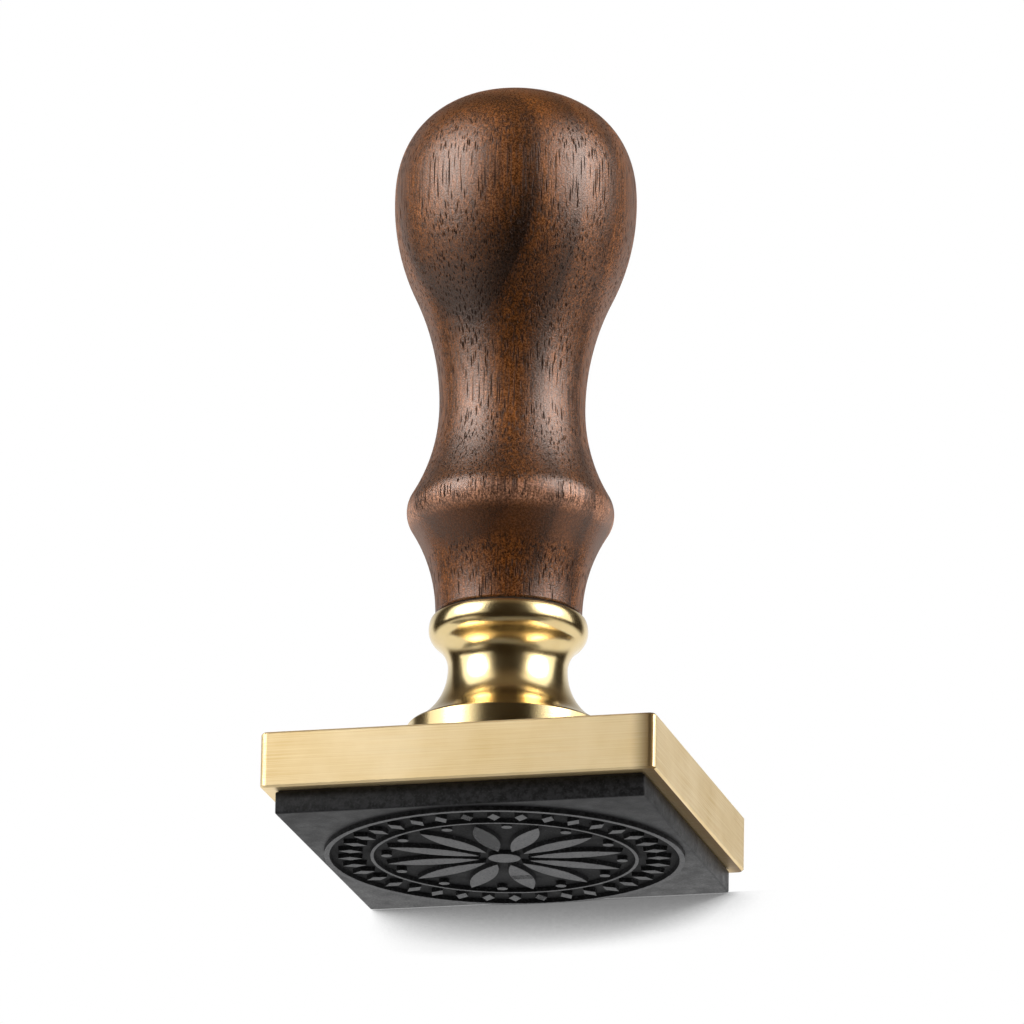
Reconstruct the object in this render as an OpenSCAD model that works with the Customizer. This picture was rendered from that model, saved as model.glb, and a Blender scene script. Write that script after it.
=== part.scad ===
// Hand stamp: a turned walnut handle screwed to a brass collar on a brass plate with a rubber die
// Millimetres. The origin is the centre of the printing face, with +Z up the handle and -Y the front.

/* [Base plate] */
// Width of the plate, left to right
plate_w = 60; // [48:0.5:90]
// Depth of the plate, front to back
plate_d = 60; // [48:0.5:90]
// Thickness of the plate
plate_t = 8.5; // [7:0.1:14]
// Radius of the plate's upright corners
plate_corner_r = 1.1; // [0.6:0.1:5]
// Chamfer along the plate's top and bottom edges
plate_edge = 0.3; // [0.1:0.05:1]

/* [Rubber die] */
// How far the die's sides stand in from the plate's sides
die_inset = 2; // [0.5:0.1:5]
// Thickness of the rubber sheet behind the raised design
die_t = 3.4; // [2:0.1:6]
// Height of the raised design
relief_h = 0.7; // [0.4:0.05:1.5]
// Thickness of the adhesive sheet above the die
adhesive_t = 0.2; // [0.1:0.05:0.6]
// How far the adhesive's edge stands in from the die's edge
adhesive_inset = 0.4; // [0.1:0.1:2]

/* [Raised design] */
// Space between the die's edge and the round border
border_margin = 1; // [0.5:0.1:4]
// Width of the border's line
border_line = 0.9; // [0.4:0.1:2]
// Space between one ring of the design and the next
design_gap = 1.1; // [0.5:0.1:2]
// Length of a lozenge, from the border towards the centre
lozenge_l = 3.8; // [2:0.1:5]
// Width of a lozenge
lozenge_w = 2; // [1:0.1:2.6]
// Number of lozenges
lozenge_count = 36; // [12:1:48]
// Width of the inner ring's line
inner_line = 0.6; // [0.3:0.1:1.5]
// Radius of the round hub
hub_r = 2.4; // [1:0.1:4]
// Width of a petal at its middle
petal_w = 3.6; // [2:0.1:4.4]
// Number of petals
petal_count = 12; // [6:1:14]
// Diameter of the dots between the petal tips
dot_d = 1.6; // [0.8:0.1:2.4]

/* [Collar] */
// Diameter of the flanged foot
flange_d = 30; // [27:0.5:44]
// Height of the flanged foot
flange_h = 7.4; // [6.5:0.1:12]
// Chamfer on the flange's edges
flange_edge = 0.3; // [0.1:0.05:0.8]
// Height from the flange's rim to the narrowest part
cove_rise = 9; // [6:0.1:14]
// Diameter at the narrowest part
cove_d = 18; // [15:0.1:22]
// Height from the narrowest part to the fullest part of the bead
neck_rise = 6; // [5:0.1:10]
// Diameter of the bead
collar_bead_d = 24; // [23.2:0.1:32]
// Radius of the bead's lower curve
collar_bead_round = 2.9; // [1.5:0.1:4]
// Height from the bead's fullest part to the seat
seat_rise = 2; // [1:0.1:4]
// How far the seat stands out past the handle's foot
seat_margin = 0.15; // [0.05:0.05:0.5]

/* [Handle] */
// Diameter of the handle's foot
foot_d = 22.1; // [20:0.1:22.6]
// Height from the foot to the bead ring
foot_rise = 16; // [12:0.1:24]
// Diameter of the bead ring
bead_d = 31.3; // [26:0.1:38]
// Radius of the bead ring's curve
bead_round = 4.7; // [2:0.1:8]
// Height from the bead ring to the waist
bead_rise = 16.8; // [12:0.1:24]
// Diameter of the waist
waist_d = 22.1; // [17:0.1:25]
// Height from the waist to the fullest part of the knob
waist_rise = 32.4; // [24:0.1:44]
// Diameter of the knob
knob_d = 36.8; // [30:0.1:46]
// Share of the curve below the knob that bulges, against the part that is hollow
knob_flank = 0.455; // [0.2:0.005:0.8]
// Height from the knob's fullest part to the top
crown_rise = 17.3; // [12:0.1:26]
// Fullness of the knob's crown, where 2 is an ellipse
crown_fullness = 2.3; // [2:0.05:3]

/* [Fasteners] */
// Thickness of the washer under the handle
washer_t = 0.5; // [0.3:0.05:1.5]
// How far the washer's edge stands in from the handle's foot
washer_inset = 0.4; // [0.1:0.05:1.5]
// Diameter of the stud
stud_d = 8; // [5:0.5:8.5]
// Length of the stud in the collar
stud_low = 12; // [8:0.5:13]
// Length of the stud above the collar
stud_high = 12; // [11:0.5:13.5]
// Chamfer at the stud's ends
stud_chamfer = 0.8; // [0.3:0.1:1.2]
// Width of the driver slot in the stud's top
slot_w = 1.2; // [0.8:0.1:2]
// Depth of the driver slot in the stud's top
slot_depth = 2; // [1:0.1:3]
// Outer diameter of the insert in the handle
insert_d = 12; // [10.5:0.5:14]
// Length of the insert
insert_l = 14; // [13.6:0.2:22]
// Diameter of the screw through the plate
screw_d = 6; // [4:0.5:7]
// Length of the screw in the collar
screw_in_collar = 9; // [6:0.5:10]
// Diameter of the screw's countersunk head
screw_head_d = 11; // [9:0.5:13]
// Width across flats of the screw's hex socket
socket_af = 4; // [2:0.5:4.5]
// Depth of the screw's hex socket
socket_depth = 2.2; // [1:0.1:3]
// Diameter of a dowel pin
dowel_d = 3; // [2:0.1:3.6]
// Length of a dowel pin, half of it in the plate
dowel_l = 8; // [4:0.5:10]
// Distance between the two dowel pins
dowel_spacing = 20; // [18.5:0.5:21]

/* [Fits] */
// Radial clearance of a thread
thread_gap = 0.05; // [0.02:0.01:0.1]
// Radial clearance of a glued or tapped-in piece
press_gap = 0.02; // [0.01:0.01:0.05]
// Radial clearance of the screw and stud where they only pass through
pass_gap = 0.3; // [0.1:0.05:0.8]
// Space left past the end of a blind hole's occupant
end_gap = 0.5; // [0.2:0.1:1.5]

/* [Hidden] */
$fn = 96;

walnut = "#5d3b27";
brass = "#c8a75b";
steel = "#9b9ea2";
fibre = "#2a211c";
rubber = "#303032";
film = "#26262a";

// Steps along an arc, and along the knob's crown
arc_steps = 9;
crown_steps = 14;
// Depth to which the raised design runs into the rubber sheet, so that they are one piece
relief_root = 0.4;
// Overlap of a cut past the face that it opens
cut = 0.1;

// Heights of the stack
die_z = relief_h;
adhesive_z = die_z + die_t;
plate_z = adhesive_z + adhesive_t;
collar_z = plate_z + plate_t;
rim_z = collar_z + flange_h;
cove_z = rim_z + cove_rise;
collar_bead_z = cove_z + neck_rise;
seat_z = collar_bead_z + seat_rise;
foot_z = seat_z + washer_t;
bead_z = foot_z + foot_rise;
waist_z = bead_z + bead_rise;
knob_z = waist_z + waist_rise;
top_z = knob_z + crown_rise;

// Widths that follow from others
die_w = plate_w - 2 * die_inset;
die_d = plate_d - 2 * die_inset;
seat_r = foot_d / 2 + seat_margin;
screw_head_h = (screw_head_d - screw_d) / 2;

// Radii of the raised design, from the border inwards
border_r = min(die_w, die_d) / 2 - border_margin;
lozenge_r = border_r - border_line - design_gap - lozenge_l / 2;
inner_r = lozenge_r - lozenge_l / 2 - design_gap;
dot_r = inner_r - inner_line - design_gap - dot_d / 2;
petal_tip = inner_r - inner_line - design_gap;
petal_l = petal_tip - hub_r - design_gap;

// Points in the other order
function backwards(points) = [for (i = [len(points) - 1:-1:0]) points[i]];

// Points without the first one
function rest(points) = [for (i = [1:len(points) - 1]) points[i]];

// Radius sum of two arcs that join a wide and a narrow point, both upright at their ends
function ogee_sum(wide, narrow) =
    let (d = wide[0] - narrow[0], h = wide[1] - narrow[1])
    (d * d + h * h) / (2 * d);

// A bulging arc from the wide point, then a hollow arc to the narrow point
function ogee(wide, narrow, wide_round) =
    let (
        total = ogee_sum(wide, narrow),
        narrow_round = total - wide_round,
        up = sign(narrow[1] - wide[1]),
        turn = asin(abs(narrow[1] - wide[1]) / total)
    )
    concat(
        [for (i = [0:arc_steps])
            let (a = turn * i / arc_steps)
            [wide[0] - wide_round * (1 - cos(a)), wide[1] + up * wide_round * sin(a)]],
        [for (i = [arc_steps - 1:-1:0])
            let (a = turn * i / arc_steps)
            [narrow[0] + narrow_round * (1 - cos(a)), narrow[1] - up * narrow_round * sin(a)]]
    );

// A hollow arc from the narrow point, where it is upright, out to the rim
function cove(narrow, rim) =
    let (
        radius = ogee_sum(rim, narrow),
        turn = asin(abs(narrow[1] - rim[1]) / radius)
    )
    [for (i = [0:arc_steps])
        let (a = turn * i / arc_steps)
        [narrow[0] + radius * (1 - cos(a)), narrow[1] - radius * sin(a)]];

// A rounded shoulder from the outer point, where it is upright, in to the level inner point
function shoulder(outer, inner, power, steps) =
    [for (i = [0:steps])
        let (a = 90 * i / steps)
        [
            inner[0] + (outer[0] - inner[0]) * pow(cos(a), 2 / power),
            outer[1] + (inner[1] - outer[1]) * pow(sin(a), 2 / power)
        ]];

function handle_outline() =
    let (
        foot = [foot_d / 2, foot_z],
        bead = [bead_d / 2, bead_z],
        waist = [waist_d / 2, waist_z],
        knob = [knob_d / 2, knob_z],
        flank_round = knob_flank * ogee_sum(knob, waist)
    )
    concat(
        [[0, foot_z]],
        backwards(ogee(bead, foot, bead_round)),
        rest(ogee(bead, waist, bead_round)),
        rest(backwards(ogee(knob, waist, flank_round))),
        rest(shoulder(knob, [0, top_z], crown_fullness, crown_steps))
    );

function collar_outline() =
    let (
        flange_r = flange_d / 2,
        rim = [flange_r - flange_edge, rim_z],
        narrow = [cove_d / 2, cove_z],
        bead = [collar_bead_d / 2, collar_bead_z]
    )
    concat(
        [[0, collar_z], [flange_r - flange_edge, collar_z], [flange_r, collar_z + flange_edge]],
        [[flange_r, rim_z - flange_edge]],
        backwards(cove(narrow, rim)),
        rest(backwards(ogee(bead, narrow, collar_bead_round))),
        rest(shoulder(bead, [seat_r, seat_z], 2, arc_steps)),
        [[0, seat_z]]
    );

// A rectangle with its four corners cut, centred across and standing on the line
module chamfered_section(width, height, edge) {
    half = width / 2;
    polygon([
        [-half + edge, 0], [half - edge, 0], [half, edge], [half, height - edge],
        [half - edge, height], [-half + edge, height], [-half, height - edge], [-half, edge]
    ]);
}

// A plate with round upright corners and chamfered edges all round, standing on the floor
module chamfered_plate(width, depth, height, corner, edge) {
    inner_w = width - 2 * corner;
    inner_d = depth - 2 * corner;
    rotate([90, 0, 90])
        translate([0, 0, -inner_w / 2])
            linear_extrude(inner_w)
                chamfered_section(depth, height, edge);
    rotate([90, 0, 0])
        translate([0, 0, -inner_d / 2])
            linear_extrude(inner_d)
                chamfered_section(width, height, edge);
    for (x = [-inner_w / 2, inner_w / 2], y = [-inner_d / 2, inner_d / 2])
        translate([x, y, 0])
            rotate_extrude()
                polygon([
                    [0, 0], [corner - edge, 0], [corner, edge],
                    [corner, height - edge], [corner - edge, height], [0, height]
                ]);
}

// Two upright holes or pins, one on each side of the axis
module dowel_pair(diameter, length) {
    for (x = [-dowel_spacing / 2, dowel_spacing / 2])
        translate([x, 0, 0])
            cylinder(d = diameter, h = length);
}

// A flat ring
module ring_line(outer, line) {
    difference() {
        circle(r = outer);
        circle(r = outer - line);
    }
}

// A pointed petal, lying along X and centred
module petal(length, width) {
    radius = (length * length + width * width) / (4 * width);
    intersection() {
        translate([0, radius - width / 2])
            circle(r = radius);
        translate([0, width / 2 - radius])
            circle(r = radius);
    }
}

// The raised design, seen in plan: a border, lozenges, a ring and a rosette
module relief_plan() {
    ring_line(border_r, border_line);
    for (i = [0:lozenge_count - 1])
        rotate(360 * i / lozenge_count)
            translate([lozenge_r, 0])
                polygon([[-lozenge_l / 2, 0], [0, -lozenge_w / 2], [lozenge_l / 2, 0], [0, lozenge_w / 2]]);
    ring_line(inner_r, inner_line);
    for (i = [0:petal_count - 1])
        rotate(360 * i / petal_count)
            translate([petal_tip - petal_l / 2, 0])
                petal(petal_l, petal_w);
    for (i = [0:petal_count - 1])
        rotate(360 * (i + 0.5) / petal_count)
            translate([dot_r, 0])
                circle(d = dot_d);
    circle(r = hub_r);
}

module handle() {
    color(walnut)
        difference() {
            rotate_extrude()
                polygon(handle_outline());
            translate([0, 0, foot_z - cut])
                cylinder(r = insert_d / 2 + press_gap, h = cut + insert_l + end_gap);
        }
}

module handle_insert() {
    color(brass)
        translate([0, 0, foot_z])
            difference() {
                cylinder(d = insert_d, h = insert_l);
                translate([0, 0, -cut])
                    cylinder(r = stud_d / 2 + thread_gap, h = insert_l + 2 * cut);
            }
}

module seat_washer() {
    color(fibre)
        translate([0, 0, seat_z])
            difference() {
                cylinder(r = foot_d / 2 - washer_inset, h = washer_t);
                translate([0, 0, -cut])
                    cylinder(r = stud_d / 2 + pass_gap, h = washer_t + 2 * cut);
            }
}

module collar() {
    color(brass)
        difference() {
            rotate_extrude()
                polygon(collar_outline());
            translate([0, 0, seat_z - stud_low - end_gap])
                cylinder(r = stud_d / 2 + thread_gap, h = stud_low + end_gap + cut);
            translate([0, 0, collar_z - cut])
                cylinder(r = screw_d / 2 + thread_gap, h = screw_in_collar + end_gap + cut);
            translate([0, 0, collar_z - cut])
                dowel_pair(dowel_d + 2 * press_gap, dowel_l / 2 + end_gap + cut);
        }
}

module stud() {
    stud_r = stud_d / 2;
    bottom = seat_z - stud_low;
    top = seat_z + stud_high;
    color(steel)
        difference() {
            rotate_extrude()
                polygon([
                    [0, bottom], [stud_r - stud_chamfer, bottom], [stud_r, bottom + stud_chamfer],
                    [stud_r, top - stud_chamfer], [stud_r - stud_chamfer, top], [0, top]
                ]);
            translate([-stud_d, -slot_w / 2, top - slot_depth])
                cube([2 * stud_d, slot_w, slot_depth + cut]);
        }
}

module base_plate() {
    color(brass)
        translate([0, 0, plate_z])
            difference() {
                chamfered_plate(plate_w, plate_d, plate_t, plate_corner_r, plate_edge);
                translate([0, 0, -cut])
                    cylinder(r = screw_d / 2 + pass_gap, h = plate_t + 2 * cut);
                translate([0, 0, -cut])
                    cylinder(
                        r1 = screw_head_d / 2 + press_gap + cut,
                        r2 = screw_d / 2 + pass_gap,
                        h = screw_head_h + press_gap + cut - pass_gap
                    );
                translate([0, 0, plate_t - dowel_l / 2 - end_gap])
                    dowel_pair(dowel_d + 2 * press_gap, dowel_l / 2 + end_gap + cut);
            }
}

module plate_screw() {
    color(steel)
        translate([0, 0, plate_z])
            difference() {
                union() {
                    cylinder(d1 = screw_head_d, d2 = screw_d, h = screw_head_h);
                    cylinder(d = screw_d, h = plate_t + screw_in_collar);
                }
                translate([0, 0, -cut])
                    cylinder(d = socket_af / cos(30), h = socket_depth + cut, $fn = 6);
            }
}

module dowel_pins() {
    color(steel)
        translate([0, 0, collar_z - dowel_l / 2])
            dowel_pair(dowel_d, dowel_l);
}

module die_adhesive() {
    sheet_w = die_w - 2 * adhesive_inset;
    sheet_d = die_d - 2 * adhesive_inset;
    color(film)
        translate([-sheet_w / 2, -sheet_d / 2, adhesive_z])
            cube([sheet_w, sheet_d, adhesive_t]);
}

module rubber_die() {
    color(rubber) {
        translate([-die_w / 2, -die_d / 2, die_z])
            cube([die_w, die_d, die_t]);
        linear_extrude(relief_h + relief_root)
            relief_plan();
    }
}

handle();
handle_insert();
seat_washer();
collar();
stud();
base_plate();
plate_screw();
dowel_pins();
die_adhesive();
rubber_die();
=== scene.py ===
import math

import bmesh
import bpy
from mathutils import Matrix, Vector


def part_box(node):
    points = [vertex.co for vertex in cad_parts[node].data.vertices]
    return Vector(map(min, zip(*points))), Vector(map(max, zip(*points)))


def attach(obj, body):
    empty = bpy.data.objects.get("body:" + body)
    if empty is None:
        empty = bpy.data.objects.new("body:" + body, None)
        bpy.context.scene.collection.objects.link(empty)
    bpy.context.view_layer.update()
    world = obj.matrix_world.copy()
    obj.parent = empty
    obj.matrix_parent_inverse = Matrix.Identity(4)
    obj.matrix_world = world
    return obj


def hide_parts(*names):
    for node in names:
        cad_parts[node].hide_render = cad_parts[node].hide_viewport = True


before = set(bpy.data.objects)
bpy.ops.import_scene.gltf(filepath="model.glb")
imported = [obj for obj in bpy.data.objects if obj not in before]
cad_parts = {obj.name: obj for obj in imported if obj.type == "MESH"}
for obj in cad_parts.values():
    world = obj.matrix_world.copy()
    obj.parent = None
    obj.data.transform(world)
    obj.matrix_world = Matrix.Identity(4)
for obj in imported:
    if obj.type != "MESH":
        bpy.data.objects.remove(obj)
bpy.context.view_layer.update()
mm = 0.001
weldGap = 0.0005 * mm


def toLinear(hexColour):
    channels = [int(hexColour[i:i + 2], 16) / 255 for i in (1, 3, 5)]
    return [c / 12.92 if c < 0.04045 else ((c + 0.055) / 1.055) ** 2.4 for c in channels] + [1.0]


# Sockets take a value, a hex colour, an output, or a node for its first output. Stops fill a colour ramp
def addNode(tree, kind, inputs=None, stops=None, **settings):
    node = tree.nodes.new(kind)
    for name, value in settings.items():
        setattr(node, name, value)
    for key, value in (inputs or {}).items():
        source = value.outputs[0] if isinstance(value, bpy.types.Node) else value
        if isinstance(source, bpy.types.NodeSocket):
            tree.links.new(source, node.inputs[key])
        else:
            node.inputs[key].default_value = toLinear(source) if isinstance(source, str) else source
    for i, (place, colour) in enumerate(stops or []):
        ramp = node.color_ramp.elements
        element = ramp[i] if i < len(ramp) else ramp.new(place)
        element.position = place
        element.color = toLinear(colour)
    return node


# What a Map Range node takes in, from the first number to the second, and what it gives out for them
def span(fromStart, fromEnd, toStart=0.0, toEnd=1.0):
    return {1: fromStart, 2: fromEnd, 3: toStart, 4: toEnd}


# Lets a Map Range ease in and out
soft = {"interpolation_type": "SMOOTHSTEP"}


# The node tree of a material, lamp or world, emptied
def emptyTree(owner):
    owner.use_nodes = True
    owner.node_tree.nodes.clear()
    return owner.node_tree


# A material without its surface, and the piece's own coordinates in millimetres
def startMaterial(name):
    material = bpy.data.materials.new(name)
    tree = emptyTree(material)
    place = addNode(tree, "ShaderNodeTexCoord")
    inMm = addNode(tree, "ShaderNodeVectorMath", {0: place.outputs["Object"], 3: 1 / mm}, operation="SCALE")
    return material, tree, inMm


def endMaterial(tree, surface):
    shader = addNode(tree, "ShaderNodeBsdfPrincipled", surface)
    addNode(tree, "ShaderNodeOutputMaterial", {"Surface": shader})


# How far a place lies from the upright axis
def offAxis(tree, place):
    level = addNode(tree, "ShaderNodeVectorMath", {0: place, 1: (1, 1, 0)}, operation="MULTIPLY")
    return addNode(tree, "ShaderNodeVectorMath", {0: level}, operation="LENGTH").outputs["Value"]


# Which way the surface faces, as three outputs
def faceWay(tree):
    facing = addNode(tree, "ShaderNodeNewGeometry")
    return addNode(tree, "ShaderNodeSeparateXYZ", {0: facing.outputs["True Normal"]}).outputs


# Walnut, turned, sanded and oiled: warm brown bands of early and late wood that open into ovals on
# the round parts, short dark pores along the grain, fine specks, and a soft satin shine.
# Places and depths are in millimetres, and rows of four or two numbers are spans
walnutLook = {
    "ringSpacing": 7.0, "ringShift": 0.79,
    "pithAway": 62.0, "pithTurn": -20.0, "lean": 0.8, "leanAbout": 103.0,
    "slowWarp": 4.0, "slowGrain": 0.024, "quickWarp": 2.4, "quickGrain": (0.14, 0.14, 0.045),
    "plain": "#5a3211",
    "bands": (
        (0.0, "#46250b"), (0.16, "#734218"), (0.46, "#6a3c15"),
        (0.66, "#542f10"), (0.84, "#271404"), (0.92, "#1f0e03"),
    ),
    "bandsGrain": 0.05, "bandsCome": (0.36, 0.62, 0.5, 1.0),
    # Painted shade darkens the wood round the heart under the knob
    "heart": (0.0, -13.0, 86.5), "heartBands": (20, 6, 0.55, 1.15), "heartPaintedShade": (17, 7, 1.0, 0.45),
    # Painted shade darkens the wood round a point under the bead
    "underBead": (4.0, -13.0, 47.0), "underBeadPaintedShade": (9, 3, 1.0, 0.8),
    "fibreGrain": (3.2, 3.2, 0.14), "fibreLight": (0.36, 0.64, 0.45, 1.52),
    "speckGrain": 3.5, "speckLight": (0.4, 0.6, 0.3, 1.42), "speckDepth": 0.08,
    # Under the bead wax fills the grain, which is even there, and painted shade darkens it
    "filledAndShadedAt": 49.0, "filledAndShaded": (3.4, 1.4, 0.0, 0.7), "filledShadeTone": 0.62,
    # A painted highlight makes the crest of the bead lighter and paler
    "crestAt": 52.8, "crestPaintedHighlight": (2.3, 1.0, 1.0, 2.8), "crestHighlightPale": (2.3, 1.0, 1.0, 0.77),
    # The hollow above the bead is darker
    "hollowAt": 58.8, "hollowLight": (6.5, 2.5, 1.0, 0.68),
    "endGrainLight": (0.55, 0.95, 1.0, 0.4),
    "pore": "#150802", "poreAcross": 0.32, "poreAlong": 11.0, "poreSpread": 0.2, "poreEdge": (0.45, 0.31),
    "poreShut": 0.4, "poreShade": 0.92, "poreDull": 0.6, "poreDepth": 0.05,
    "roughness": (0.3, 0.7, 0.21, 0.33), "edgeDull": (0.55, 0.95, 0.0, 0.3),
    "shine": "#ffe2d4", "refraction": 1.65, "sheen": 0.12, "sheenRoughness": 0.4, "sheenTint": "#ffae78",
}


def turnedWalnut():
    look = walnutLook
    material, tree, inMm = startMaterial("walnutTurnedOiled")
    turn, lean, away = math.radians(look["pithTurn"]), math.radians(look["lean"]), look["pithAway"]
    # Noise lies about a half, so half of each warp is taken off with the pith's place
    centre = (look["slowWarp"] + look["quickWarp"]) / 2
    warp = addNode(tree, "ShaderNodeMapping", {
        "Vector": inMm,
        "Location": (
            -away * math.sin(turn) - centre,
            away * math.cos(turn) + look["leanAbout"] * math.sin(lean) - centre,
            0,
        ),
        "Rotation": (lean, 0, 0),
    })
    slow = addNode(tree, "ShaderNodeTexNoise", {"Vector": inMm, "Scale": look["slowGrain"], "Detail": 1.5})
    tall = addNode(tree, "ShaderNodeVectorMath", {0: inMm, 1: look["quickGrain"]}, operation="MULTIPLY")
    quick = addNode(tree, "ShaderNodeTexNoise", {"Vector": tall, "Scale": 1.0, "Detail": 4, "Roughness": 0.6})
    for noise, reach in ((slow, look["slowWarp"]), (quick, look["quickWarp"])):
        warp = addNode(tree, "ShaderNodeVectorMath", {
            0: noise.outputs["Color"], 1: [reach] * 3, 2: warp,
        }, operation="MULTIPLY_ADD")
    count = addNode(tree, "ShaderNodeMath", {
        0: offAxis(tree, warp), 1: 1 / look["ringSpacing"], 2: look["ringShift"],
    }, operation="MULTIPLY_ADD")
    ring = addNode(tree, "ShaderNodeMath", {0: count}, operation="FRACT")
    bands = addNode(tree, "ShaderNodeValToRGB", {0: ring}, stops=look["bands"])
    # Bands are strongest in a dark heart under the knob, and come and go elsewhere
    strength = addNode(tree, "ShaderNodeTexNoise", {"Vector": inMm, "Scale": look["bandsGrain"], "Detail": 1})
    come = addNode(tree, "ShaderNodeMapRange", {0: strength, **span(*look["bandsCome"])})
    offHeart = addNode(tree, "ShaderNodeVectorMath", {0: inMm, 1: look["heart"]}, operation="DISTANCE")
    near = addNode(tree, "ShaderNodeMapRange", {0: offHeart.outputs["Value"], **span(*look["heartBands"])})
    amount = addNode(tree, "ShaderNodeMath", {0: come, 1: near}, operation="MULTIPLY")
    figure = addNode(tree, "ShaderNodeMix", {0: amount, 6: look["plain"], 7: bands}, data_type="RGBA")
    # Fibres run up the handle, so their noise is drawn out along it
    drawn = addNode(tree, "ShaderNodeVectorMath", {0: inMm, 1: look["fibreGrain"]}, operation="MULTIPLY")
    fibre = addNode(tree, "ShaderNodeTexNoise", {"Vector": drawn, "Scale": 1.0, "Detail": 4})
    speck = addNode(tree, "ShaderNodeTexNoise", {
        "Vector": inMm, "Scale": look["speckGrain"], "Detail": 3, "Roughness": 0.75,
    })
    fibreLight = addNode(tree, "ShaderNodeMapRange", {0: fibre, **span(*look["fibreLight"])})
    speckLight = addNode(tree, "ShaderNodeMapRange", {0: speck, **span(*look["speckLight"])})
    light = addNode(tree, "ShaderNodeMath", {0: fibreLight, 1: speckLight}, operation="MULTIPLY")
    # How far a place lies above or below each band of the finish
    height = addNode(tree, "ShaderNodeSeparateXYZ", {0: inMm}).outputs[2]
    off = {}
    for band in ("filledAndShaded", "crest", "hollow"):
        above = addNode(tree, "ShaderNodeMath", {0: height, 1: look[band + "At"]}, operation="SUBTRACT")
        off[band] = addNode(tree, "ShaderNodeMath", {0: above}, operation="ABSOLUTE")
    # Wax fills the grain under the bead, so it is even there, and painted shade darkens it
    filledAndShaded = addNode(tree, "ShaderNodeMapRange", {0: off["filledAndShaded"], **span(*look["filledAndShaded"])})
    tone = addNode(tree, "ShaderNodeMix", {0: filledAndShaded, 2: light, 3: look["filledShadeTone"]})
    # Painted shade darkens the wood round the heart under the knob and again under the bead, end grain drinks
    # more oil, a painted highlight makes the crest of the bead lighter and paler, and the hollow above it is
    # darker
    offBead = addNode(tree, "ShaderNodeVectorMath", {0: inMm, 1: look["underBead"]}, operation="DISTANCE")
    shares = {
        "heartPaintedShade": offHeart.outputs["Value"], "underBeadPaintedShade": offBead.outputs["Value"],
        "endGrainLight": faceWay(tree)[2], "crestPaintedHighlight": off["crest"], "hollowLight": off["hollow"],
    }
    for name, source in shares.items():
        share = addNode(tree, "ShaderNodeMapRange", {0: source, **span(*look[name])})
        tone = addNode(tree, "ShaderNodeMath", {0: tone, 1: share}, operation="MULTIPLY")
    paler = addNode(tree, "ShaderNodeMapRange", {0: off["crest"], **span(*look["crestHighlightPale"])})
    wood = addNode(tree, "ShaderNodeHueSaturation", {
        "Saturation": paler, "Value": tone, "Color": figure.outputs[2],
    })
    # Pores are up to 0.2 mm across and 7 mm long, one to a cell, no two alike, and shut where wax fills them
    across, along = 1 / look["poreAcross"], 1 / look["poreAlong"]
    cells = addNode(tree, "ShaderNodeVectorMath", {0: inMm, 1: (across, across, along)}, operation="MULTIPLY")
    pores = addNode(tree, "ShaderNodeTexVoronoi", {"Vector": cells, "Scale": 1.0})
    chance = addNode(tree, "ShaderNodeSeparateColor", {0: pores.outputs["Color"]})
    reach = addNode(tree, "ShaderNodeMath", {
        0: chance, 1: look["poreSpread"], 2: pores.outputs["Distance"],
    }, operation="MULTIPLY_ADD")
    shut = addNode(tree, "ShaderNodeMath", {
        0: filledAndShaded, 1: look["poreShut"], 2: reach,
    }, operation="MULTIPLY_ADD")
    pore = addNode(tree, "ShaderNodeMapRange", {0: shut, **span(*look["poreEdge"])})
    shade = addNode(tree, "ShaderNodeMath", {0: pore, 1: look["poreShade"]}, operation="MULTIPLY")
    dark = addNode(tree, "ShaderNodeMix", {0: shade, 6: wood, 7: look["pore"]}, data_type="RGBA")
    rough = addNode(tree, "ShaderNodeMapRange", {0: speck, **span(*look["roughness"])})
    rougher = addNode(tree, "ShaderNodeMath", {
        0: pore, 1: look["poreDull"], 2: rough,
    }, operation="MULTIPLY_ADD")
    # A satin finish is duller along the surface than straight on
    edgeOn = addNode(tree, "ShaderNodeLayerWeight", {"Blend": 0.5})
    duller = addNode(tree, "ShaderNodeMapRange", {0: edgeOn.outputs["Facing"], **span(*look["edgeDull"])})
    satin = addNode(tree, "ShaderNodeMath", {0: rougher, 1: duller}, operation="ADD")
    # No shine comes back out of a pore
    shine = addNode(tree, "ShaderNodeMix", {0: pore, 6: look["shine"], 7: look["pore"]}, data_type="RGBA")
    grain = addNode(tree, "ShaderNodeBump", {
        "Strength": 0.8, "Distance": look["speckDepth"] * mm, "Height": speck,
    })
    pits = addNode(tree, "ShaderNodeBump", {
        "Strength": 0.5, "Distance": look["poreDepth"] * mm, "Height": pore, "Normal": grain,
    }, invert=True)
    # The oil in the fibres warms what the surface throws back, and the fibres catch light at the rims
    endMaterial(tree, {
        "Base Color": dark.outputs[2], "Roughness": satin, "Normal": pits, "Specular Tint": shine.outputs[2],
        "Sheen Weight": look["sheen"], "Sheen Roughness": look["sheenRoughness"],
        "Sheen Tint": look["sheenTint"], "IOR": look["refraction"],
    })
    return material


# Brass, turned and polished: near-mirror gold that lathe lines and fine pits blur a little
polishedLook = {
    "colour": "#eedaa8", "dull": "#dcbf86", "film": 0.18, "roughness": (0.3, 0.7, 0.15, 0.23),
    "lines": 5.0, "lineDepth": 0.008, "pits": 3.0, "pitDepth": 0.015,
}


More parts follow.
